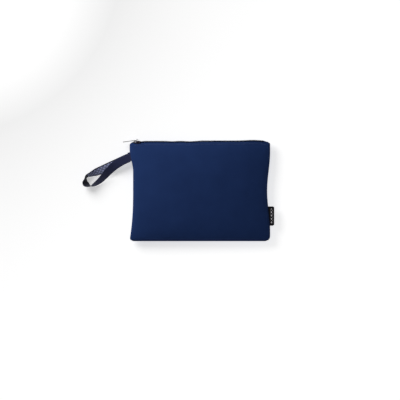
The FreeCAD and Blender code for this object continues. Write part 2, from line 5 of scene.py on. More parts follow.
import bmesh
import bpy
import numpy as np
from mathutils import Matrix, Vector


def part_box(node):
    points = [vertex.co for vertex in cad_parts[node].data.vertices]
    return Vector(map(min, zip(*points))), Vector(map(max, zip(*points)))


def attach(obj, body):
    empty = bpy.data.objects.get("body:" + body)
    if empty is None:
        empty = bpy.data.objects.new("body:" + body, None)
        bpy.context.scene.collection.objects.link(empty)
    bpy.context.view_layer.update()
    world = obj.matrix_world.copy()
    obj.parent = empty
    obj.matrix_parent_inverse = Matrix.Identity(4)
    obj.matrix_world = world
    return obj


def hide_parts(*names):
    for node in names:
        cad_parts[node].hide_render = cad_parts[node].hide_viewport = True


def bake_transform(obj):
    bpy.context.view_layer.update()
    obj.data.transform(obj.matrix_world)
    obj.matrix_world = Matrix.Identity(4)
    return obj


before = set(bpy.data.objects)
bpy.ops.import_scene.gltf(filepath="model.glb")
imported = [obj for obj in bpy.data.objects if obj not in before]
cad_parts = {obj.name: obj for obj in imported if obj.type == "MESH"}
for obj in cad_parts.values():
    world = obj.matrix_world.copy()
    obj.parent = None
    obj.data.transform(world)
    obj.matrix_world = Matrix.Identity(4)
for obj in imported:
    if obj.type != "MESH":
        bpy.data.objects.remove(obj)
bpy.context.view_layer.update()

# ---------------------------------------------------------------------------------------------------
# Fabric skin. Two layers of navy polyester canvas, each sewn over thin wadding, joined face to face
# along the sides and bottom and turned right side out. The filled skin crowns in the middle, its sides
# pull in between the corners, and it lies flat where it rests on the table.

SEAM_LOW, SEAM_HIGH = (np.array(v, float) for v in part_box("back_outer_panel"))
FRONT_HIGH = np.array(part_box("front_outer_panel")[1], float)
HALF_WIDTH = SEAM_HIGH[0]
HALF_HEIGHT = -SEAM_LOW[1]
MOUTH_Y = SEAM_HIGH[1]
THICKNESS = FRONT_HIGH[2]
SEAM_Z = THICKNESS / 2
CORNER_RADIUS = 0.0065
WORN_CORNER_RADIUS = 0.0085  # the lower right corner is rounder
SEAM_OUT = 0.1204  # from the middle to the side seams at the corners
LEFT_PULL_IN = 0.0059
LEFT_UPPER_WAIST = (0.070, 0.036)  # the height where the left side begins to pull in, and over what run
LEFT_LOWER_WAIST = (0.084, 2.4)  # the depth where it is back out, and how full the curve is
RIGHT_PULL_IN = 0.0050
RIGHT_WAIST = 0.068  # up and down from the middle, where the right side is back out
BOTTOM_Y = -HALF_HEIGHT - 0.0010
SWAY_STEPS = ((-0.104, 0.0010), (-0.008, 0.0007), (0.104, -0.0008))  # where each begins, and its rise
SWAY_STEP_RUN = 0.012
SWAY_SWELLS = ((-0.048, 0.008, -0.0006), (-0.018, 0.008, -0.0006), (0.090, 0.015, 0.0010))
SWAY_FROM = 0.045  # the height on the panel where it begins to follow the zip's sway
SWAY_FADE = 0.035
EDGE_RUN = 0.046  # how far in from the seam the crown is reached
END_RUN = EDGE_RUN * 0.62  # the same, from the bottom seam and the mouth
EDGE_SWELL = 2.3
SEAM_DEPTH = 0.001  # what the seam itself takes of the skin's height
SKIN_PROUD = 0.0008  # how far a filled skin may stand above the padded panel
CROWN = 0.42  # the share of the height that comes from the gentle dome over the whole panel
COLUMNS = 96  # even, so that one column runs down the middle
ROWS = 64
TURNED_ROWS = 6  # rows past the mouth's folded edge, which shape the skin and are then left off
CROWDING = 0.35  # how strongly rows and columns crowd towards the seams
CLOTH_STEPS = 20
PANEL_THICKNESS = 0.0029  # canvas and wadding together
PANEL_ROLL = 5  # steps round a panel's folded mouth edge
FACE_GAP = 0.0006  # the least distance from the seam plane to a layer's inner face
SKIN_GIVE = 0.0022  # the most that air pressure lifts a point of the skin
EVENING = 90  # how many times the lift is evened out, as stiff wadding does


def smooth(t):
    """An even ease from 0 to 1."""
    t = np.clip(t, 0, 1)
    return t * t * (3 - 2 * t)


def rise(distance, run):
    """How far a filled skin has risen, 0 to 1, at a distance in from its seam."""
    share = np.clip(distance / run, 0, 1)
    return (1 - (1 - share) ** EDGE_SWELL) ** (1 / EDGE_SWELL)


def bump_at(x, middle, width):
    """A rounded swell, 1 at its middle."""
    return np.exp(-(((x - middle) / width) ** 2))


def top_sway(x):
    """The zip's edge isn't straight: two small dips, a rise past the middle, a swell near the right end."""
    steps = sum(up * smooth((x - begins) / SWAY_STEP_RUN) for begins, up in SWAY_STEPS)
    swells = sum(up * bump_at(x, middle, width) for middle, width, up in SWAY_SWELLS)
    return steps + swells


def seam_out(y, side):
    """How far out the left (-1) or right (1) seam lies at a height y: each pulls in between its corners."""
    if side < 0:
        upper = smooth((LEFT_UPPER_WAIST[0] - y) / LEFT_UPPER_WAIST[1])
        lower = np.clip(1 - (np.abs(y) / LEFT_LOWER_WAIST[0]) ** LEFT_LOWER_WAIST[1], 0, 1)
        waist = LEFT_PULL_IN * np.where(y > 0, upper, lower)
    else:
        waist = RIGHT_PULL_IN * (1 + np.cos(math.pi * np.clip(np.abs(y) / RIGHT_WAIST, 0, 1))) / 2
    turn = np.where((y < 0) & (side > 0), WORN_CORNER_RADIUS, CORNER_RADIUS)
    straight = np.where(y > 0, HALF_HEIGHT, -BOTTOM_Y) - turn
    past = np.clip(np.abs(y) - straight, 0, turn)
    rounding = turn - np.sqrt(turn**2 - past**2)
    return SEAM_OUT - waist - rounding


def crowded(count):
    """That many places from -1 to 1, closer together towards both ends."""
    even = np.linspace(-1, 1, count)
    return CROWDING * np.sin(even * math.pi / 2) + (1 - CROWDING) * even


def skin_grid():
    """Rows and columns of the flat outline, closer together beside the seams."""
    u = crowded(COLUMNS + 1)
    below = (crowded(ROWS + 1 - TURNED_ROWS) + 1) / 2
    y = BOTTOM_Y + below * (MOUTH_Y - BOTTOM_Y)
    y = np.append(y, np.linspace(MOUTH_Y, HALF_HEIGHT, TURNED_ROWS + 1)[1:])
    left, right = seam_out(y, -1)[:, None], seam_out(y, 1)[:, None]
    x = np.where(u[None, :] < 0, u[None, :] * left, u[None, :] * right)
    return x, np.repeat(y[:, None], COLUMNS + 1, 1)


def evened(lift):
    """A grid of lifts spread between neighbours, with its border held."""
    for _ in range(EVENING):
        around = lift[:-2, 1:-1] + lift[2:, 1:-1] + lift[1:-1, :-2] + lift[1:-1, 2:]
        lift[1:-1, 1:-1] = lift[1:-1, 1:-1] / 2 + around / 8
    return lift


def filled_skin():
    """Front and back skins, puffed by air pressure in a cloth simulation with their seam held."""
    x, y = skin_grid()
    side = rise(np.where(x < 0, seam_out(y, -1), seam_out(y, 1)) - np.abs(x), EDGE_RUN)
    end = rise(np.minimum(HALF_HEIGHT - y, y - BOTTOM_Y), END_RUN)
    dome = (1 - (x / HALF_WIDTH) ** 2) * (1 - (y / HALF_HEIGHT) ** 2)
    height = (SEAM_Z - SEAM_DEPTH) * side * end * (1 - CROWN + CROWN * np.clip(dome, 0, 1))
    front = np.dstack([x, y, SEAM_Z + height])
    back = np.dstack([x, y, SEAM_Z - height])
    rows, cols = x.shape
    edge = np.zeros((rows, cols), bool)
    edge[[0, -1], :] = True
    edge[:, [0, -1]] = True
    number = np.arange(rows * cols).reshape(rows, cols)
    under = number + rows * cols
    under[edge] = number[edge]
    points = np.concatenate([front.reshape(-1, 3), back.reshape(-1, 3)])
    faces = []
    for j in range(rows - 1):
        for i in range(cols - 1):
            faces.append([number[j, i], number[j, i + 1], number[j + 1, i + 1], number[j + 1, i]])
            faces.append([under[j, i], under[j + 1, i], under[j + 1, i + 1], under[j, i + 1]])
    used = np.unique(np.array(faces))
    place = np.full(len(points), -1)
    place[used] = np.arange(len(used))
    mesh = bpy.data.meshes.new("skin_trial")
    mesh.from_pydata(points[used].tolist(), [], place[np.array(faces)].tolist())
    trial = bpy.data.objects.new("skin_trial", mesh)
    bpy.context.scene.collection.objects.link(trial)
    seam = trial.vertex_groups.new(name="seam")
    seam.add([int(k) for k in place[number[edge]]], 1.0, "REPLACE")
    lift = np.zeros(len(points))
    cloth = trial.modifiers.new("Cloth", "CLOTH")
    cloth.settings.vertex_group_mass = "seam"
    cloth.settings.use_pressure = True
    cloth.settings.uniform_pressure_force = 4.0
    cloth.settings.tension_stiffness = 25
    cloth.settings.compression_stiffness = 25
    cloth.settings.bending_stiffness = 2.0
    cloth.settings.quality = 6
    cloth.settings.effector_weights.gravity = 0
    cloth.point_cache.frame_start = 1
    cloth.point_cache.frame_end = CLOTH_STEPS
    for step in range(1, CLOTH_STEPS + 1):
        bpy.context.scene.frame_set(step)
    shaped = trial.evaluated_get(bpy.context.evaluated_depsgraph_get())
    filled = np.array([v.co.z for v in shaped.data.vertices], float)
    lift[used] = np.clip(filled - points[used, 2], -SKIN_GIVE, SKIN_GIVE)
    bpy.context.scene.frame_set(1)
    bpy.data.objects.remove(trial)
    skins = points.reshape(2, rows, cols, 3)
    for skin, its_lift in zip(skins, lift.reshape(2, rows, cols)):
        skin[:, :, 2] = np.clip(skin[:, :, 2] + evened(its_lift), 0.0, THICKNESS + SKIN_PROUD)
        skin[:, :, 1] += top_sway(skin[:, :, 0]) * smooth((skin[:, :, 1] - SWAY_FROM) / SWAY_FADE)
    skins[1][edge] = skins[0][edge]
    kept = rows - TURNED_ROWS
    return skins[0][:kept], skins[1][:kept]


front_skin, back_skin = filled_skin()


def normals_of(sheet, up):
    """Unit normals of a grid of points, all on the side where z has the sign of up."""
    along = np.gradient(sheet, axis=1)
    across = np.gradient(sheet, axis=0)
    normal = np.cross(along, across)
    normal /= np.maximum(np.linalg.norm(normal, axis=2, keepdims=True), 1e-12)
    return normal * up


def inside(sheet, up, depth):
    """The grid moved into the pouch by depth, no further than the seam plane."""
    moved = sheet - normals_of(sheet, up) * depth
    stop = SEAM_Z + up * FACE_GAP
    moved[:, :, 2] = np.maximum(moved[:, :, 2], stop) if up > 0 else np.minimum(moved[:, :, 2], stop)
    return moved


def thick_sheet(name, outer, inner, roll=0):
    """A closed sheet between two grids of points; its last row can be a rolled edge of roll steps."""
    rows, cols = outer.shape[:2]
    middle = (outer[-1] + inner[-1]) / 2
    ahead = outer[-1] - outer[-2]
    ahead /= np.maximum(np.linalg.norm(ahead, axis=1, keepdims=True), 1e-12)
    radius = np.linalg.norm(outer[-1] - inner[-1], axis=1, keepdims=True) / 2
    turn = []
    for k in range(1, roll + 1):
        angle = math.pi * k / (roll + 1)
        turn.append(middle + (outer[-1] - middle) * math.cos(angle) + ahead * radius * math.sin(angle))
    # One long grid that goes up the outside, round the edge and down the inside.
    wrap = np.concatenate([outer, np.array(turn).reshape(roll, cols, 3), inner[::-1]])
    count = len(wrap)
    faces = []
    for j in range(count):
        following = (j + 1) % count
        for i in range(cols - 1):
            a, b = j * cols + i, following * cols + i
            faces.append([a, a + 1, b + 1, b])
    for i in (0, cols - 1):
        ends = [j * cols + i for j in range(count)]
        for j in range(rows - 1):
            faces.append([ends[j], ends[j + 1], ends[count - 2 - j], ends[count - 1 - j]])
        if roll:
            faces.append(ends[rows - 1 : rows + roll + 1])
    mesh = bpy.data.meshes.new(name)
    mesh.from_pydata(wrap.reshape(-1, 3).tolist(), [], faces)
    shell = bmesh.new()
    shell.from_mesh(mesh)
    bmesh.ops.remove_doubles(shell, verts=shell.verts, dist=1e-6)
    bmesh.ops.recalc_face_normals(shell, faces=shell.faces)
    shell.to_mesh(mesh)
    shell.free()
    mesh.shade_smooth()
    mesh.set_sharp_from_angle(angle=math.radians(50))
    piece = bpy.data.objects.new(name, mesh)
    bpy.context.scene.collection.objects.link(piece)
    return piece


class Tone:
    """One output of a material's nodes, so that a finish is written as plain maths."""

    def __init__(self, tree, socket):
        self.tree, self.socket = tree, socket

    def node(self, kind, settings, inputs, output=0):
        made = self.tree.nodes.new(kind)
        for name, value in settings.items():
            setattr(made, name, value)
        for name, value in inputs.items():
            if isinstance(value, Tone):
                self.tree.links.new(value.socket, made.inputs[name])
            else:
                made.inputs[name].default_value = value
        return Tone(self.tree, made.outputs[output])

    def maths(self, operation, *values):
        return self.node("ShaderNodeMath", {"operation": operation}, dict(enumerate(values)))

    def __add__(self, other):
        return self.maths("ADD", self, other)

    __radd__ = __add__

    def __sub__(self, other):
        return self.maths("SUBTRACT", self, other)

    def __rsub__(self, other):
        return self.maths("SUBTRACT", other, self)

    def __mul__(self, other):
        return self.maths("MULTIPLY", self, other)

    __rmul__ = __mul__

    def __truediv__(self, other):
        return self.maths("DIVIDE", self, other)

    def __gt__(self, other):
        return self.maths("GREATER_THAN", self, other)

    def wave(self, pitch):
        """A ripple between 0 and 1 that repeats every pitch metres."""
        return self.maths("SINE", self * (2 * math.pi / pitch)) * 0.5 + 0.5

    def dyed(self, dark, light):
        """Two colours mixed by this value."""
        return self.node("ShaderNodeMix", {"data_type": "RGBA"}, {0: self, 6: dark, 7: light}, 2)

    def axis(self, number):
        return self.node("ShaderNodeSeparateXYZ", {}, {0: self}, number)

    def mottle(self, size, detail=2.0):
        """Soft random patches of about that size in metres, 0 to 1."""
        return self.node("ShaderNodeTexNoise", {}, {"Vector": self, "Scale": 1 / size, "Detail": detail})

    def into(self, shader, socket):
        self.tree.links.new(self.socket, shader.inputs[socket])

    def raise_surface(self, shader, depth, strength=1.0):
        """Lifts the surface by this value, 0 to 1, times depth in metres."""
        bump = self.node("ShaderNodeBump", {}, {"Height": self, "Distance": depth, "Strength": strength})
        bump.into(shader, "Normal")


def finish(name, **constants):
    """A new material, its shader with the constants set, and the place on the object in metres."""
    material = bpy.data.materials.new(name)
    material.use_nodes = True
    tree = material.node_tree
    shader = tree.nodes["Principled BSDF"]
    for socket, value in constants.items():
        shader.inputs[socket.replace("_", " ")].default_value = value
    place = Tone(tree, tree.nodes.new("ShaderNodeTexCoord").outputs["Object"])
    return material, shader, place


def colour(red, green, blue):
    return (red, green, blue, 1.0)


def woven(place, pitch):
    """Plain weave in the plane of the pouch: warp over weft by turns."""
    x, y = place.axis(0), place.axis(1)
    warp, weft = x.wave(pitch), y.wave(pitch)
    over = (x.wave(pitch * 2) - 0.5) * (y.wave(pitch * 2) - 0.5) > 0.0
    return over * warp + (1 - over) * weft


def canvas_finish():
    material, shader, place = finish(
        "navy_canvas", Sheen_Weight=0.02, Sheen_Roughness=0.5, Specular_IOR_Level=0.1
    )
    weave = woven(place, 0.0007)
    patches = place.mottle(0.03)
    tint = weave * 0.35 + patches * 0.65
    tint.dyed(colour(0.0110, 0.0312, 0.1190), colour(0.0188, 0.0500, 0.1790)).into(shader, "Base Color")
    (0.86 - weave * 0.14).into(shader, "Roughness")
    weave.raise_surface(shader, 0.00012, 0.6)
    return material


canvas = canvas_finish()


def sew_to_pouch(piece, material, slot, *nodes):
    """Finishes a piece that stays with the back of the pouch."""
    piece.data.materials.append(material)
    if nodes:
        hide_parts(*nodes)
    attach(piece, "pouch_back")


def sew_to_front(piece, material, slot, *nodes):
    """Finishes half of a front piece, its placement baked into its points."""
    piece.data.materials.append(material)
    if nodes:
        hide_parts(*nodes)
    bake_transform(piece)


MIDDLE = COLUMNS // 2
HALVES = {"left": slice(0, MIDDLE + 1), "right": slice(MIDDLE, COLUMNS + 1)}

back_inner = inside(back_skin, -1, PANEL_THICKNESS)
front_inner = inside(front_skin, 1, PANEL_THICKNESS)
back_panel = thick_sheet("back_panel", back_skin, back_inner, roll=PANEL_ROLL)
sew_to_pouch(back_panel, canvas, "outer_fabric", "back_outer_panel", "back_padding")
# The front is made in two halves that meet at the middle, and between them they stand for both layers.
FRONT_LAYERS = {"left": "front_outer_panel", "right": "front_padding"}
for half, columns in HALVES.items():
    outer, inner = front_skin[:, columns], front_inner[:, columns]
    panel = thick_sheet(f"front_panel_{half}", outer, inner, roll=PANEL_ROLL)
    sew_to_front(panel, canvas, "outer_fabric", FRONT_LAYERS[half])

# ---------------------------------------------------------------------------------------------------
# Lining. One thin plain-weave polyester bag, sewn in along the zip and caught in the side seams, a
# little lighter than the canvas.

LINING_GAP = 0.0003
LINING_THICKNESS = 0.0004
LINING_ROWS = len(back_skin) - 1


def lining_finish():
    material, shader, place = finish("slate_lining", Sheen_Weight=0.15, Specular_IOR_Level=0.35)
    weave = woven(place, 0.0005)
    tint = weave * 0.4 + place.mottle(0.02) * 0.6
    tint.dyed(colour(0.05, 0.08, 0.155), colour(0.09, 0.135, 0.24)).into(shader, "Base Color")
    (0.62 - weave * 0.12).into(shader, "Roughness")
    weave.raise_surface(shader, 0.00006, 0.5)
    return material


lining_cloth = lining_finish()


def lining_sheet(name, inner, up, columns):
    part = inner[:LINING_ROWS, columns]
    outside = inside(part, up, LINING_GAP)
    return thick_sheet(name, outside, inside(part, up, LINING_GAP + LINING_THICKNESS))


back_lining = lining_sheet("back_lining_cloth", back_inner, -1, slice(0, COLUMNS + 1))
sew_to_pouch(back_lining, lining_cloth, "lining", "back_lining")
for half, columns in HALVES.items():
    lining = lining_sheet(f"front_lining_{half}", front_inner, 1, columns)
    sew_to_front(lining, lining_cloth, "lining", *(["front_lining"] if half == "left" else []))

# ---------------------------------------------------------------------------------------------------
# Zip tapes. Two woven polyester tapes, dyed to match, sewn under the folded mouth edges and standing
# up from them to the coil.

TAPE_TOP = float(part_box("back_zip_tape")[1][1]) + 0.0002
TAPE_THICKNESS = 0.0005
CHAIN_GAP = 0.0009
TAPE_FLAT = 0.0047
TAPE_STEPS = 6
TAPE_SUNK = 0.0004  # how far the tape lies under the folded edge it is sewn to
TAPE_LIP = (0.0006, 0.0003)  # from the folded edge, up and towards the seam plane
TAPE_BULGE = 0.0005
TAPE_ENDS = 2  # columns of the skin past each end of the tapes


def tape_finish():
    material, shader, place = finish("zip_tape", Specular_IOR_Level=0.1, Sheen_Weight=0.02)
    x, z = place.axis(0), place.axis(2)
    rib = (x + z * 0.7).wave(0.0006)
    rib.dyed(colour(0.0125, 0.027, 0.082), colour(0.021, 0.042, 0.118)).into(shader, "Base Color")
    (0.85 - rib * 0.15).into(shader, "Roughness")
    rib.raise_surface(shader, 0.0001, 0.6)
    return material


tape_cloth = tape_finish()


def tape_sheet(name, inner, up, columns):
    """Rows of points from under the folded edge, over its lip and up to the chain."""
    edge, below = inner[-1, columns], inner[-4, columns]
    narrow = np.minimum(TAPE_FLAT, np.abs(edge[:, 2] - SEAM_Z) * 0.8)
    top_y = TAPE_TOP + top_sway(edge[:, 0])
    lip = edge + np.array([0, TAPE_LIP[0], -up * TAPE_LIP[1]])
    sunk = np.array([0, 0, -up * TAPE_SUNK])
    shoulder = np.column_stack([edge[:, 0], top_y, SEAM_Z + up * narrow])
    near = np.minimum(CHAIN_GAP, narrow * 0.5)
    ridge = np.column_stack([edge[:, 0], top_y + 0.0002, SEAM_Z + up * near])
    rows = [below + sunk, edge + sunk]
    for k in range(TAPE_STEPS + 1):
        t = k / TAPE_STEPS
        bulge = np.array([0, TAPE_BULGE * math.sin(math.pi * t), 0])
        rows.append(lip * (1 - t) + shoulder * t + bulge)
    rows.append(ridge)
    top = np.array(rows)
    return thick_sheet(name, top, top - normals_of(top, up) * TAPE_THICKNESS)


TAPE_LAST = COLUMNS + 1 - TAPE_ENDS
back_tape = tape_sheet("back_tape", back_inner, -1, slice(TAPE_ENDS, TAPE_LAST))
sew_to_pouch(back_tape, tape_cloth, "zip_tape", "back_zip_tape")
for half, columns in (("left", slice(TAPE_ENDS, MIDDLE + 1)), ("right", slice(MIDDLE, TAPE_LAST))):
    tape = tape_sheet(f"front_tape_{half}", front_inner, 1, columns)
    sew_to_front(tape, tape_cloth, "zip_tape", *(["front_zip_tape"] if half == "left" else []))

# ---------------------------------------------------------------------------------------------------
# Zip coil. Polyester monofilament wound round a cord and sewn to each tape; the turns of one side
# stand between those of the other.

COIL_LOW, COIL_HIGH = (np.array(v, float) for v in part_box("back_coil"))
COIL_PITCH = 0.0012
COIL_WIRE = 0.00023
COIL_REACH = 0.0005
COIL_WIDTH = 0.0028
COIL_HEAD = 0.0002  # from the seam plane to where a turn begins to round its head
COIL_BASE_Y = TAPE_TOP + 0.0003
COIL_TOP_Y = COIL_HIGH[1] + 0.0002


def coil_finish():
    material, shader, place = finish("zip_coil", Roughness=0.55, Specular_IOR_Level=0.25)
    shade = place.mottle(0.004)
    shade.dyed(colour(0.012, 0.022, 0.062), colour(0.021, 0.038, 0.1)).into(shader, "Base Color")
    return material


coil_plastic = coil_finish()


def coil_run(name, up, low_x, high_x, phase):
    """A wound wire: each turn goes out over the top, round the head and back underneath."""
    curve = bpy.data.curves.new(name, "CURVE")
    curve.dimensions = "3D"
    curve.bevel_depth = COIL_WIRE
    curve.bevel_resolution = 1
    curve.resolution_u = 2
    line = curve.splines.new("NURBS")
    heel, shoulder = SEAM_Z + up * COIL_WIDTH, SEAM_Z + up * COIL_WIDTH * 0.8
    neck, head = SEAM_Z + up * COIL_HEAD, SEAM_Z - up * COIL_REACH
    turns = []
    x = low_x + phase * COIL_PITCH
    while x < high_x:
        lift = float(top_sway(np.array(x)))
        low_y, high_y = COIL_BASE_Y + lift, COIL_TOP_Y + lift
        turns += [
            (x, low_y, heel),
            (x, high_y, shoulder),
            (x, high_y, neck),
            (x, (low_y + high_y) / 2, head),
            (x + COIL_PITCH * 0.2, low_y, neck),
            (x + COIL_PITCH * 0.6, low_y, shoulder),
        ]
        x += COIL_PITCH
    line.points.add(len(turns) - 1)
    for point, at in zip(line.points, turns):
        point.co = (*at, 1.0)
    line.order_u = 3
    line.use_endpoint_u = True
    wound = bpy.data.objects.new(f"{name}_wire", curve)
    bpy.context.scene.collection.objects.link(wound)
    bpy.context.view_layer.update()
    mesh = bpy.data.meshes.new_from_object(wound.evaluated_get(bpy.context.evaluated_depsgraph_get()))
    bpy.data.objects.remove(wound)
    mesh.shade_smooth()
    mesh.materials.clear()
    piece = bpy.data.objects.new(name, mesh)
    bpy.context.scene.collection.objects.link(piece)
    return piece


back_coil = coil_run("back_coil_wire", -1, COIL_LOW[0], COIL_HIGH[0], 0.0)
sew_to_pouch(back_coil, coil_plastic, "zip_coil", "back_coil")
for half, low_x, high_x in (("left", COIL_LOW[0], -COIL_PITCH / 2), ("right", 0.0, COIL_HIGH[0])):
    coil = coil_run(f"front_coil_{half}", 1, low_x, high_x, 0.5)
    sew_to_front(coil, coil_plastic, "zip_coil", *(["front_coil"] if half == "left" else []))

# ---------------------------------------------------------------------------------------------------
# Topstitching. A row of lockstitches in navy thread beside each folded mouth edge holds canvas, tape
# and lining together.

STITCH_LENGTH = 0.0026
STITCH_PITCH = 0.0034
STITCH_RADIUS = 0.00028
STITCH_INSET = 0.0026  # from the folded edge down to the row
STITCH_SHAPE = ((0.0, 0.2), (0.15, 0.8), (0.5, 1.0), (0.85, 0.8), (1.0, 0.2))  # along, and how thick
STITCH_SIDES = 6
STITCH_MARGIN = 4  # columns of the skin left without stitches at each end


def thread_finish():
    material, shader, place = finish("navy_thread", Roughness=0.55, Sheen_Weight=0.2)
    ply = (place.axis(0) + place.axis(1)).wave(0.0005)
    ply.dyed(colour(0.018, 0.046, 0.16), colour(0.03, 0.074, 0.236)).into(shader, "Base Color")
    ply.raise_surface(shader, 0.00008, 0.5)
    return material


thread = thread_finish()


def on_row(sheet, inset):
    """Points of the sheet at a distance below its last row, column by column."""
    y = sheet[-1, :, 1] - inset
    found = []
    for i in range(sheet.shape[1]):
        found.append([np.interp(y[i], sheet[:, i, 1], sheet[:, i, k]) for k in range(3)])
    return np.array(found)


def stitch_row(name, path, up):
    """Short rounded threads laid end to end along a path, each half sunk in the cloth."""
    step = np.r_[0, np.cumsum(np.linalg.norm(np.diff(path, axis=0), axis=1))]
    shape = bmesh.new()
    at = STITCH_PITCH / 2
    while at + STITCH_LENGTH < step[-1]:
        ring_before = None
        for t, swell in STITCH_SHAPE:
            s = at + t * STITCH_LENGTH
            centre = np.array([np.interp(s, step, path[:, k]) for k in range(3)])
            centre[2] += up * STITCH_RADIUS * (0.9 * swell - 0.3)
            ring = []
            for k in range(STITCH_SIDES):
                angle = k * 2 * math.pi / STITCH_SIDES
                y = centre[1] + STITCH_RADIUS * swell * math.cos(angle)
                z = centre[2] + STITCH_RADIUS * swell * math.sin(angle)
                ring.append(shape.verts.new((centre[0], y, z)))
            if ring_before:
                for k in range(STITCH_SIDES):
                    m = (k + 1) % STITCH_SIDES
                    shape.faces.new((ring_before[k], ring_before[m], ring[m], ring[k]))
            else:
                shape.faces.new(ring[::-1])
            ring_before = ring
        shape.faces.new(ring_before)
        at += STITCH_PITCH
    bmesh.ops.recalc_face_normals(shape, faces=shape.faces)
    mesh = bpy.data.meshes.new(name)
    shape.to_mesh(mesh)
    shape.free()
    mesh.shade_smooth()
    piece = bpy.data.objects.new(name, mesh)
    bpy.context.scene.collection.objects.link(piece)
    return piece


row_path = on_row(back_skin, STITCH_INSET)[STITCH_MARGIN:-STITCH_MARGIN]
sew_to_pouch(stitch_row("back_mouth_stitches", row_path, -1), thread, "outer_fabric")
for half, columns in HALVES.items():
    row_path = on_row(front_skin, STITCH_INSET)[columns]
    row_path = row_path[STITCH_MARGIN:] if half == "left" else row_path[:-STITCH_MARGIN]
    sew_to_front(stitch_row(f"front_mouth_stitches_{half}", row_path, 1), thread, "outer_fabric")

# ---------------------------------------------------------------------------------------------------
# End tabs. The canvas wraps over each end of the zip and slopes down into the corner, so that the
# ends of the tapes are hidden.

TAB_STEPS = 8
TAB_RISE = 0.0042
TAB_RUN = 0.009
TAB_THICKNESS = 0.0009
TAB_SADDLE = 0.6  # below 1, the saddle is fuller between its two edges
TAB_COLUMNS = {"left": slice(0, 4), "right": slice(COLUMNS - 7, COLUMNS + 1)}


def end_tab(name, columns):
    """A small saddle of canvas from the back's folded edge over the zip's end to the front's."""
    back_edge, front_edge = back_inner[-1, columns], front_inner[-1, columns]
    in_from_seam = SEAM_OUT - np.abs(front_edge[:, 0])
    rows = []
    for k in range(TAB_STEPS + 1):
        t = k / TAB_STEPS
        row = back_edge * (1 - t) + front_edge * t
        row[:, 1] += TAB_RISE * np.sqrt(in_from_seam / TAB_RUN) * math.sin(math.pi * t) ** TAB_SADDLE
        rows.append(row)
    top = np.array(rows)
    return thick_sheet(name, top, top - np.array([0, TAB_THICKNESS, 0]))


for side, columns in TAB_COLUMNS.items():
    tab = end_tab(f"{side}_zip_tab", columns)
    sew_to_pouch(tab, canvas, "outer_fabric", f"{side}_end_tab")

# ---------------------------------------------------------------------------------------------------
# Seam binding. A ribbed tape bound over the raw edges inside the side and bottom seams.

BINDING_EDGE = 0.0032  # from the seam in to the tape's near edge
BINDING_REACH = 0.0075
BINDING_THICKNESS = 0.0008
BINDING_TOP_GAP = 0.008  # from the mouth down to the tape's ends
BINDING_CORNER = (0.006, 0.008)  # how far up from the bottom, and in from the side, a corner turns


def binding_finish():
    material, shader, place = finish("ribbed_binding", Specular_IOR_Level=0.3)
    rib = (place.axis(0) + place.axis(1)).wave(0.0008)
    rib.dyed(colour(0.012, 0.018, 0.036), colour(0.026, 0.036, 0.068)).into(shader, "Base Color")
    (0.8 - rib * 0.1).into(shader, "Roughness")
    rib.raise_surface(shader, 0.0001, 0.6)
    return material


binding_tape = binding_finish()


def seam_ring(inset, height):
    """Points just inside the seam, down the left side, along the bottom and up the right side."""
    y = np.linspace(MOUTH_Y - BINDING_TOP_GAP, BOTTOM_Y + BINDING_CORNER[0], 40)
    level = np.maximum(y, BOTTOM_Y + inset + 0.001)
    x = np.linspace(-HALF_WIDTH + BINDING_CORNER[1], HALF_WIDTH - BINDING_CORNER[1], 60)
    bottom = np.column_stack([x, np.full_like(x, BOTTOM_Y + inset)])
    left = np.column_stack([inset - seam_out(y, -1), level])
    right = np.column_stack([seam_out(y, 1) - inset, level])[::-1]
    path = np.concatenate([left, bottom, right])
    return np.column_stack([path, np.full(len(path), height)])


insets = np.linspace(BINDING_EDGE, BINDING_REACH, 4)
binding_top = np.array([seam_ring(inset, SEAM_Z + BINDING_THICKNESS / 2) for inset in insets])
binding_under = binding_top - np.array([0, 0, BINDING_THICKNESS])
binding = thick_sheet("inner_binding", binding_top, binding_under)
sew_to_pouch(binding, binding_tape, "binding", "seam_binding")

# ---------------------------------------------------------------------------------------------------
# Inner pockets. A slip pocket for a passport and papers is sewn to the back lining, and a card pocket
# to its front. Each is lining cloth with a bound hem along its open edge.

POCKET_EASE = 0.0009  # how far a pocket's open edge stands off what is behind it
POCKET_WAVES = 7.0
POCKET_WAVE_START = 0.6
HEM_THICKNESS = 0.0008


def pocket_cloth(name, node, ease, thickness):
    """A sheet in the place of its node, slack along its open edge."""
    low, high = (np.array(v, float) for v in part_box(node))
    x = np.linspace(low[0], high[0], 41)
    y = np.linspace(low[1], high[1], 13)
    across, up = np.meshgrid(x, y)
    share = (up - low[1]) / (high[1] - low[1])
    spread = 1 - (across / high[0]) ** 2
    wave = 0.5 + 0.5 * np.cos(across / high[0] * POCKET_WAVES + POCKET_WAVE_START)
    slack = ease * spread * (0.4 + 0.6 * wave) * share**2
    top = np.dstack([across, up, np.full_like(across, high[2]) + slack])
    return thick_sheet(name, top, top - np.array([0, 0, thickness]))


for name in ("slip_pocket", "card_pocket"):
    cloth = pocket_cloth(f"{name}_cloth", name, POCKET_EASE, LINING_THICKNESS)
    sew_to_pouch(cloth, lining_cloth, "lining", name)
    hem = pocket_cloth(f"{name}_hem_tape", f"{name}_hem", 0.0, HEM_THICKNESS)
    sew_to_pouch(hem, binding_tape, "binding", f"{name}_hem")

# ---------------------------------------------------------------------------------------------------
# Wrist strap. One length of 15 mm polyester webbing, woven with a raised pattern on its inner face and
# plain on its outer face. It is folded into a loop and both ends are sewn into the left side seam.
# Each station is x, y, z in metres and the band's roll about its own line in degrees.

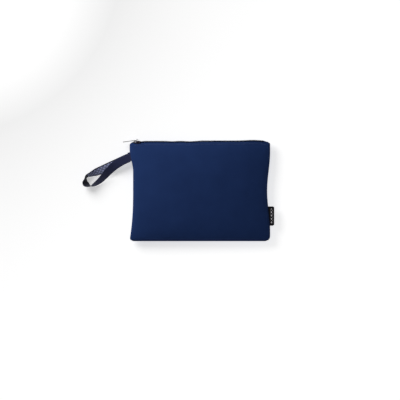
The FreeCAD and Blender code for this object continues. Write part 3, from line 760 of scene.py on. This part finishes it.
STRAP_WIDTH = 0.015
STRAP_THICKNESS = 0.0011
STRAP_SEAM = (-0.1214, 0.0582, 0.013)
STRAP_STATIONS = (
    (-0.1275, 0.0545, 0.0116, -5.0),
    (-0.1357, 0.0509, 0.0108, -10.0),
    (-0.1517, 0.0438, 0.0088, -18.0),
    (-0.1677, 0.0368, 0.0074, -27.0),
    (-0.1770, 0.0329, 0.0070, -36.0),
    (-0.1869, 0.0288, 0.0076, -60.0),
    (-0.1940, 0.0256, 0.0080, -74.0),
    (-0.1964, 0.0214, 0.0079, -82.0),
    (-0.1974, 0.0160, 0.0070, -60.0),
    (-0.1952, 0.0116, 0.0072, -52.0),
    (-0.1894, 0.0086, 0.0080, -80.0),
    (-0.1834, 0.0098, 0.0080, -104.0),
    (-0.1732, 0.0165, 0.0080, -124.0),
    (-0.1641, 0.0255, 0.0090, -135.0),
    (-0.1556, 0.0347, 0.0112, -147.0),
    (-0.1462, 0.0433, 0.0132, -160.0),
    (-0.1357, 0.0502, 0.0142, -171.0),
    (-0.1275, 0.0545, 0.0143, -175.0),
)
STRAP_STEPS = 8  # points of the smooth line between two stations
STRAP_ACROSS = 9
PATTERN_RUN = (0.012, 0.078)  # the stretch of the inner face that carries the raised pattern; outside it that face is painted near black, as shade where the loop turns at its tip
PATTERN_HALF_WIDTH = 0.0058
LOZENGE_PITCH = 0.0065
LOZENGE_EDGE = 0.22  # below this the ground shows between two lozenges
SELVEDGE_THINNING = 0.45


def webbing_finish(name, dark, light, ribs):
    """Woven webbing: fine ribs across the band, and a raised ground of lozenges on one face. Outside the
    pattern's run that face is near black, painted shade for the loop's tip.
    """
    material, shader, _ = finish(name, Specular_IOR_Level=0.3, Sheen_Weight=0.12)
    chart = Tone(material.node_tree, material.node_tree.nodes.new("ShaderNodeUVMap").outputs[0])
    along, across = chart.axis(0), chart.axis(1)
    rib = (along + across * 0.4).wave(0.0009)
    tone = rib
    if ribs:
        lozenge = (along + across).wave(LOZENGE_PITCH) * (along - across).wave(LOZENGE_PITCH)
        from_middle = across.maths("ABSOLUTE", across - STRAP_WIDTH / 2)
        ground = 1 - (from_middle > PATTERN_HALF_WIDTH)
        run = (along > PATTERN_RUN[0]) * (1 - (along > PATTERN_RUN[1]))
        # Outside the pattern's run only the near black dark colour is left: painted shade on the inner face
        # where the loop turns at its tip.
        tone = ((lozenge > LOZENGE_EDGE) * 0.5 + 0.25 + rib * 0.2) * ground * run + rib * 0.01
    tone.dyed(colour(*dark), colour(*light)).into(shader, "Base Color")
    (0.82 - rib * 0.12).into(shader, "Roughness")
    tone.raise_surface(shader, 0.00018, 0.6)
    return material


plain_webbing = webbing_finish("plain_webbing", (0.0126, 0.0166, 0.061), (0.029, 0.036, 0.105), False)
# The inner face's dark colour is near black: it is the woven ground and selvedges, and also painted shade
# on that face at the loop's tip.
jacquard_webbing = webbing_finish("jacquard_webbing", (0.005, 0.0065, 0.022), (0.53, 0.58, 0.92), True)


def smooth_line(stations):
    """A Catmull-Rom line through the stations."""
    points = np.array(stations)
    padded = np.vstack([2 * points[0] - points[1], points, 2 * points[-1] - points[-2]])
    line = []
    for k in range(1, len(padded) - 2):
        a, b, c, d = padded[k - 1 : k + 3]
        for step in range(STRAP_STEPS):
            t = step / STRAP_STEPS
            bend = (2 * a - 5 * b + 4 * c - d) * t**2 + (3 * b - a - 3 * c + d) * t**3
            line.append((2 * b + (c - a) * t + bend) / 2)
    line.append(points[-1])
    return np.array(line)


def webbing_band(name, line, swap=False):
    """A band along a line of x, y, z and roll, with its inner face's pattern on one side."""
    centre, roll = line[:, :3], np.radians(line[:, 3])
    ahead = np.gradient(centre, axis=0)
    ahead /= np.linalg.norm(ahead, axis=1, keepdims=True)
    level = np.cross([0, 0, 1], ahead)
    level /= np.linalg.norm(level, axis=1, keepdims=True)
    across = level * np.cos(roll)[:, None] + np.array([0, 0, 1]) * np.sin(roll)[:, None]
    across -= ahead * np.sum(across * ahead, axis=1, keepdims=True)
    across /= np.linalg.norm(across, axis=1, keepdims=True)
    normal = np.cross(ahead, across)
    share = np.linspace(-1, 1, STRAP_ACROSS)
    # The selvedges are thinner than the middle of the band.
    half = STRAP_THICKNESS / 2 * (1 - SELVEDGE_THINNING * np.abs(share) ** 6)
    grid = centre[:, None] + across[:, None] * share[None, :, None] * STRAP_WIDTH / 2
    top = grid + normal[:, None] * half[None, :, None]
    under = grid - normal[:, None] * half[None, :, None]
    length = np.r_[0, np.cumsum(np.linalg.norm(np.diff(centre, axis=0), axis=1))]
    piece = thick_sheet(name, top, under)
    mesh = piece.data
    chart = mesh.uv_layers.new(name="UVMap")
    for corner in mesh.loops:
        at = np.array(mesh.vertices[corner.vertex_index].co)
        k = int(np.argmin(np.sum((centre - at) ** 2, axis=1)))
        v = float(np.dot(at - centre[k], across[k])) + STRAP_WIDTH / 2
        u = float(length[k] + np.dot(at - centre[k], ahead[k]))
        chart.data[corner.index].uv = (u, v)
    mesh.materials.append(plain_webbing)
    mesh.materials.append(jacquard_webbing)
    for face in mesh.polygons:
        k = int(np.argmin(np.sum((centre - np.array(face.center)) ** 2, axis=1)))
        patterned = np.dot(np.array(face.normal), normal[k]) > 0.5
        face.material_index = int(bool(patterned) != swap)
    return piece, float(length[-1])


fold_gap = STRAP_THICKNESS / 2 + 0.0002
loop_y = STRAP_SEAM[1] - 0.0012
first = (STRAP_SEAM[0], loop_y, STRAP_SEAM[2] - fold_gap, 0.0)
last = (STRAP_SEAM[0], loop_y, STRAP_SEAM[2] + fold_gap, -180.0)
strap, strap_length = webbing_band("webbing_loop", smooth_line((first, *STRAP_STATIONS, last)))
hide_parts("wrist_strap")
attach(strap, "strap")

# The two ends of the webbing, laid together in the seam.
for label, lift in (("lower", -fold_gap), ("upper", fold_gap)):
    stations = []
    for step in range(6):
        x = STRAP_SEAM[0] - 0.0012 + step * 0.0018
        stations.append((x, STRAP_SEAM[1] + step * 0.0004, STRAP_SEAM[2] + lift * (1 - step * 0.08), 0.0))
    end, _ = webbing_band(f"webbing_end_{label}", smooth_line(stations), swap=label == "upper")
    if label == "lower":
        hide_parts("strap_anchor")
    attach(end, "pouch_back")

# ---------------------------------------------------------------------------------------------------
# Side label. A black damask ribbon folded once, its two ends caught in the right side seam, with a
# plain woven border and a row of small lozenges.

LABEL_LOW, LABEL_HIGH = (np.array(v, float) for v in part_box("side_label"))
LABEL_CLOTH = 0.0004
LABEL_WORN = 0.0022  # how far the folded corners have rounded off
LABEL_BAND = (0.0062, 0.0030)  # the row of lozenges lies between these distances from the fold
LABEL_BORDER = 0.004  # plain ribbon at each end of the row
LABEL_PITCH = 0.0058
LABEL_SLANT = 1.3  # how much taller than wide a lozenge is
LABEL_HALF_FOLD = 0.00045  # from the seam plane to the ribbon's outer face
LABEL_HIDDEN = 0.0045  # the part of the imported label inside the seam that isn't made here
LABEL_DROOP = 0.0007
LABEL_RIPPLE = 95.0


def label_finish():
    material, shader, place = finish("woven_label", Roughness=0.75, Specular_IOR_Level=0.15)
    x, y = place.axis(0), place.axis(1)
    left, right = (LABEL_HIGH[0] - distance for distance in LABEL_BAND)
    band = (x > left) * (1 - (x > right))
    lozenge = (x * LABEL_SLANT + y).wave(LABEL_PITCH) * (y - x * LABEL_SLANT).wave(LABEL_PITCH)
    ends = (y > LABEL_LOW[1] + LABEL_BORDER) * (1 - (y > LABEL_HIGH[1] - LABEL_BORDER))
    motif = band * ends * (lozenge > 0.3)
    weft = y.wave(0.0005)
    tone = motif + weft * 0.012
    tone.dyed(colour(0.008, 0.0075, 0.0093), colour(0.9, 0.88, 0.92)).into(shader, "Base Color")
    tone.raise_surface(shader, 0.00012, 0.5)
    return material


def folded_ribbon():
    """The ribbon's line in x and z: out along the top, round the fold and back underneath."""
    half = LABEL_HALF_FOLD
    inner_x, outer_x = LABEL_LOW[0] + LABEL_HIDDEN, LABEL_HIGH[0]
    run = np.linspace(inner_x, outer_x - half, 8)
    turn = np.linspace(math.pi / 2, -math.pi / 2, 7)[1:-1]
    line = [(x, SEAM_Z + half) for x in run]
    line += [(outer_x - half + half * math.cos(a), SEAM_Z + half * math.sin(a)) for a in turn]
    line += [(x, SEAM_Z - half) for x in run[::-1]]
    return np.array(line)


ribbon = folded_ribbon()
reach = np.clip((ribbon[:, 0] - ribbon[0, 0]) / (LABEL_HIGH[0] - ribbon[0, 0]), 0, 1) ** 2
outside = []
for y in np.linspace(LABEL_LOW[1], LABEL_HIGH[1], 46):
    droop = LABEL_DROOP * math.sin((y - LABEL_LOW[1]) * LABEL_RIPPLE)
    from_end = min(y - LABEL_LOW[1], LABEL_HIGH[1] - y)
    worn = LABEL_WORN * max(0.0, 1 - from_end / LABEL_WORN) ** 2
    at_x = ribbon[:, 0] - worn * reach
    outside.append(np.column_stack([at_x, np.full(len(ribbon), y), ribbon[:, 1] + droop * reach]))
outside = np.array(outside)
inward = normals_of(outside, 1)
inward *= -np.sign(inward[0, 0, 2])
label = thick_sheet("woven_label", outside, outside + inward * LABEL_CLOTH)
sew_to_pouch(label, label_finish(), "label", "side_label")

# ---------------------------------------------------------------------------------------------------
# Metal parts. The slider is a zinc casting lacquered near black, with a plated bridge crimped on top
# and a pressed steel puller. Edges are rounded by casting and tumbling.


def metal_finish(name, dark, light, roughness, metallic):
    material, shader, place = finish(name, Metallic=metallic, Specular_IOR_Level=0.5)
    wear = place.mottle(0.0012, 4.0)
    wear.dyed(colour(*dark), colour(*light)).into(shader, "Base Color")
    (wear * 0.2 + roughness).into(shader, "Roughness")
    wear.raise_surface(shader, 0.00002, 0.3)
    return material


lacquer = metal_finish("dark_lacquer", (0.012, 0.006, 0.018), (0.032, 0.016, 0.032), 0.35, 0.2)
nickel = metal_finish("nickel_plate", (0.75, 0.75, 0.77), (0.9, 0.9, 0.91), 0.42, 1.0)
steel = metal_finish("rolled_steel", (0.3, 0.3, 0.29), (0.42, 0.42, 0.41), 0.36, 1.0)


def tumbled(name, node, body, material, rounding):
    """The node's own shape with its sharp edges rounded over."""
    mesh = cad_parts[node].data.copy()
    mesh.name = name
    shape = bmesh.new()
    shape.from_mesh(mesh)
    bmesh.ops.remove_doubles(shape, verts=shape.verts, dist=1e-6)
    bmesh.ops.dissolve_limit(shape, angle_limit=math.radians(2), verts=shape.verts, edges=shape.edges)
    sharp = [e for e in shape.edges if len(e.link_faces) == 2 and e.calc_face_angle() > math.radians(25)]
    rounded = {"offset": rounding, "segments": 3, "profile": 0.6, "clamp_overlap": True}
    bmesh.ops.bevel(shape, geom=sharp, affect="EDGES", **rounded)
    bmesh.ops.recalc_face_normals(shape, faces=shape.faces)
    if body == "pouch_back":
        # A stop is clamped on the coil, so it lies where the zip's edge does.
        for vertex in shape.verts:
            vertex.co.y += float(top_sway(np.array(vertex.co.x)))
    shape.to_mesh(mesh)
    shape.free()
    mesh.materials.clear()
    mesh.materials.append(material)
    mesh.shade_smooth()
    mesh.set_sharp_from_angle(angle=math.radians(40))
    piece = bpy.data.objects.new(name, mesh)
    bpy.context.scene.collection.objects.link(piece)
    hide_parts(node)
    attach(piece, body)


for node, body, material, slot, rounding in (
    ("slider_body", "slider", lacquer, "dark_metal", 0.00022),
    ("slider_bridge", "slider", nickel, "bright_metal", 0.00022),
    ("puller", "puller", steel, "bright_metal", 0.00025),
    ("top_stops", "pouch_back", lacquer, "dark_metal", 0.0003),
    ("bottom_stop", "pouch_back", lacquer, "dark_metal", 0.0003),
):
    tumbled(f"{node}_cast", node, body, material, rounding)

# ---------------------------------------------------------------------------------------------------
# Table, light and camera. A pale table under soft light from the upper left, seen from straight above.

KEY_PLACE = (-0.44, 0.40, 0.42)
KEY_ON_TABLE = 0.123  # the key light's share of the table's brightness, at a distance of one metre
TABLE_BRIGHT = 0.93
TABLE_LEAST_GLOW = 0.05


def table_finish():
    """A pale table, lit from within where the key light falls off, so that it is evenly white."""
    material, shader, place = finish("pale_table", Roughness=0.9, Specular_IOR_Level=0.1)
    tone = place.mottle(0.4)
    tone.dyed(colour(0.86, 0.86, 0.86), colour(0.9, 0.9, 0.9)).into(shader, "Base Color")
    x, y = place.axis(0) - KEY_PLACE[0], place.axis(1) - KEY_PLACE[1]
    square = x * x + y * y + KEY_PLACE[2] ** 2
    key_share = square.maths("POWER", square, -1.5)
    glow = TABLE_BRIGHT - key_share * KEY_ON_TABLE
    glow.maths("MAXIMUM", glow, TABLE_LEAST_GLOW).into(shader, "Emission Color")
    shader.inputs["Emission Strength"].default_value = 1.0
    return material


bpy.ops.mesh.primitive_plane_add(size=12, location=(0, 0, -0.0002))
table = bpy.context.object
table.name = "table"
table.data.materials.append(table_finish())


def lamp(name, size, power, place):
    data = bpy.data.lights.new(name, "AREA")
    data.shape = "DISK"
    data.size, data.energy = size, power
    light = bpy.data.objects.new(name, data)
    bpy.context.scene.collection.objects.link(light)
    light.location = place
    light.rotation_euler = (-Vector(place)).to_track_quat("-Z", "Y").to_euler()
    light.visible_camera = False


lamp("key_light", 0.46, 3.3, KEY_PLACE)
lamp("fill_light", 1.6, 1.7, (-0.3, 0.3, 2.2))
world = bpy.data.worlds.new("studio")
world.use_nodes = True
world.node_tree.nodes["Background"].inputs["Color"].default_value = (1, 1, 1, 1)
world.node_tree.nodes["Background"].inputs["Strength"].default_value = 0.12
bpy.context.scene.world = world
bpy.context.scene.view_settings.view_transform = "Standard"

CAMERA_HEIGHT = 2.5
VIEW_WIDTH = 0.6855  # what the picture takes in at the pouch's seam, side to side
camera_data = bpy.data.cameras.new("overhead")
camera_data.sensor_width = 36
camera_data.lens = 36 * (CAMERA_HEIGHT - SEAM_Z) / VIEW_WIDTH
camera = bpy.data.objects.new("overhead", camera_data)
bpy.context.scene.collection.objects.link(camera)
camera.location = (0.0002, -0.0154, CAMERA_HEIGHT)
bpy.context.scene.camera = camera
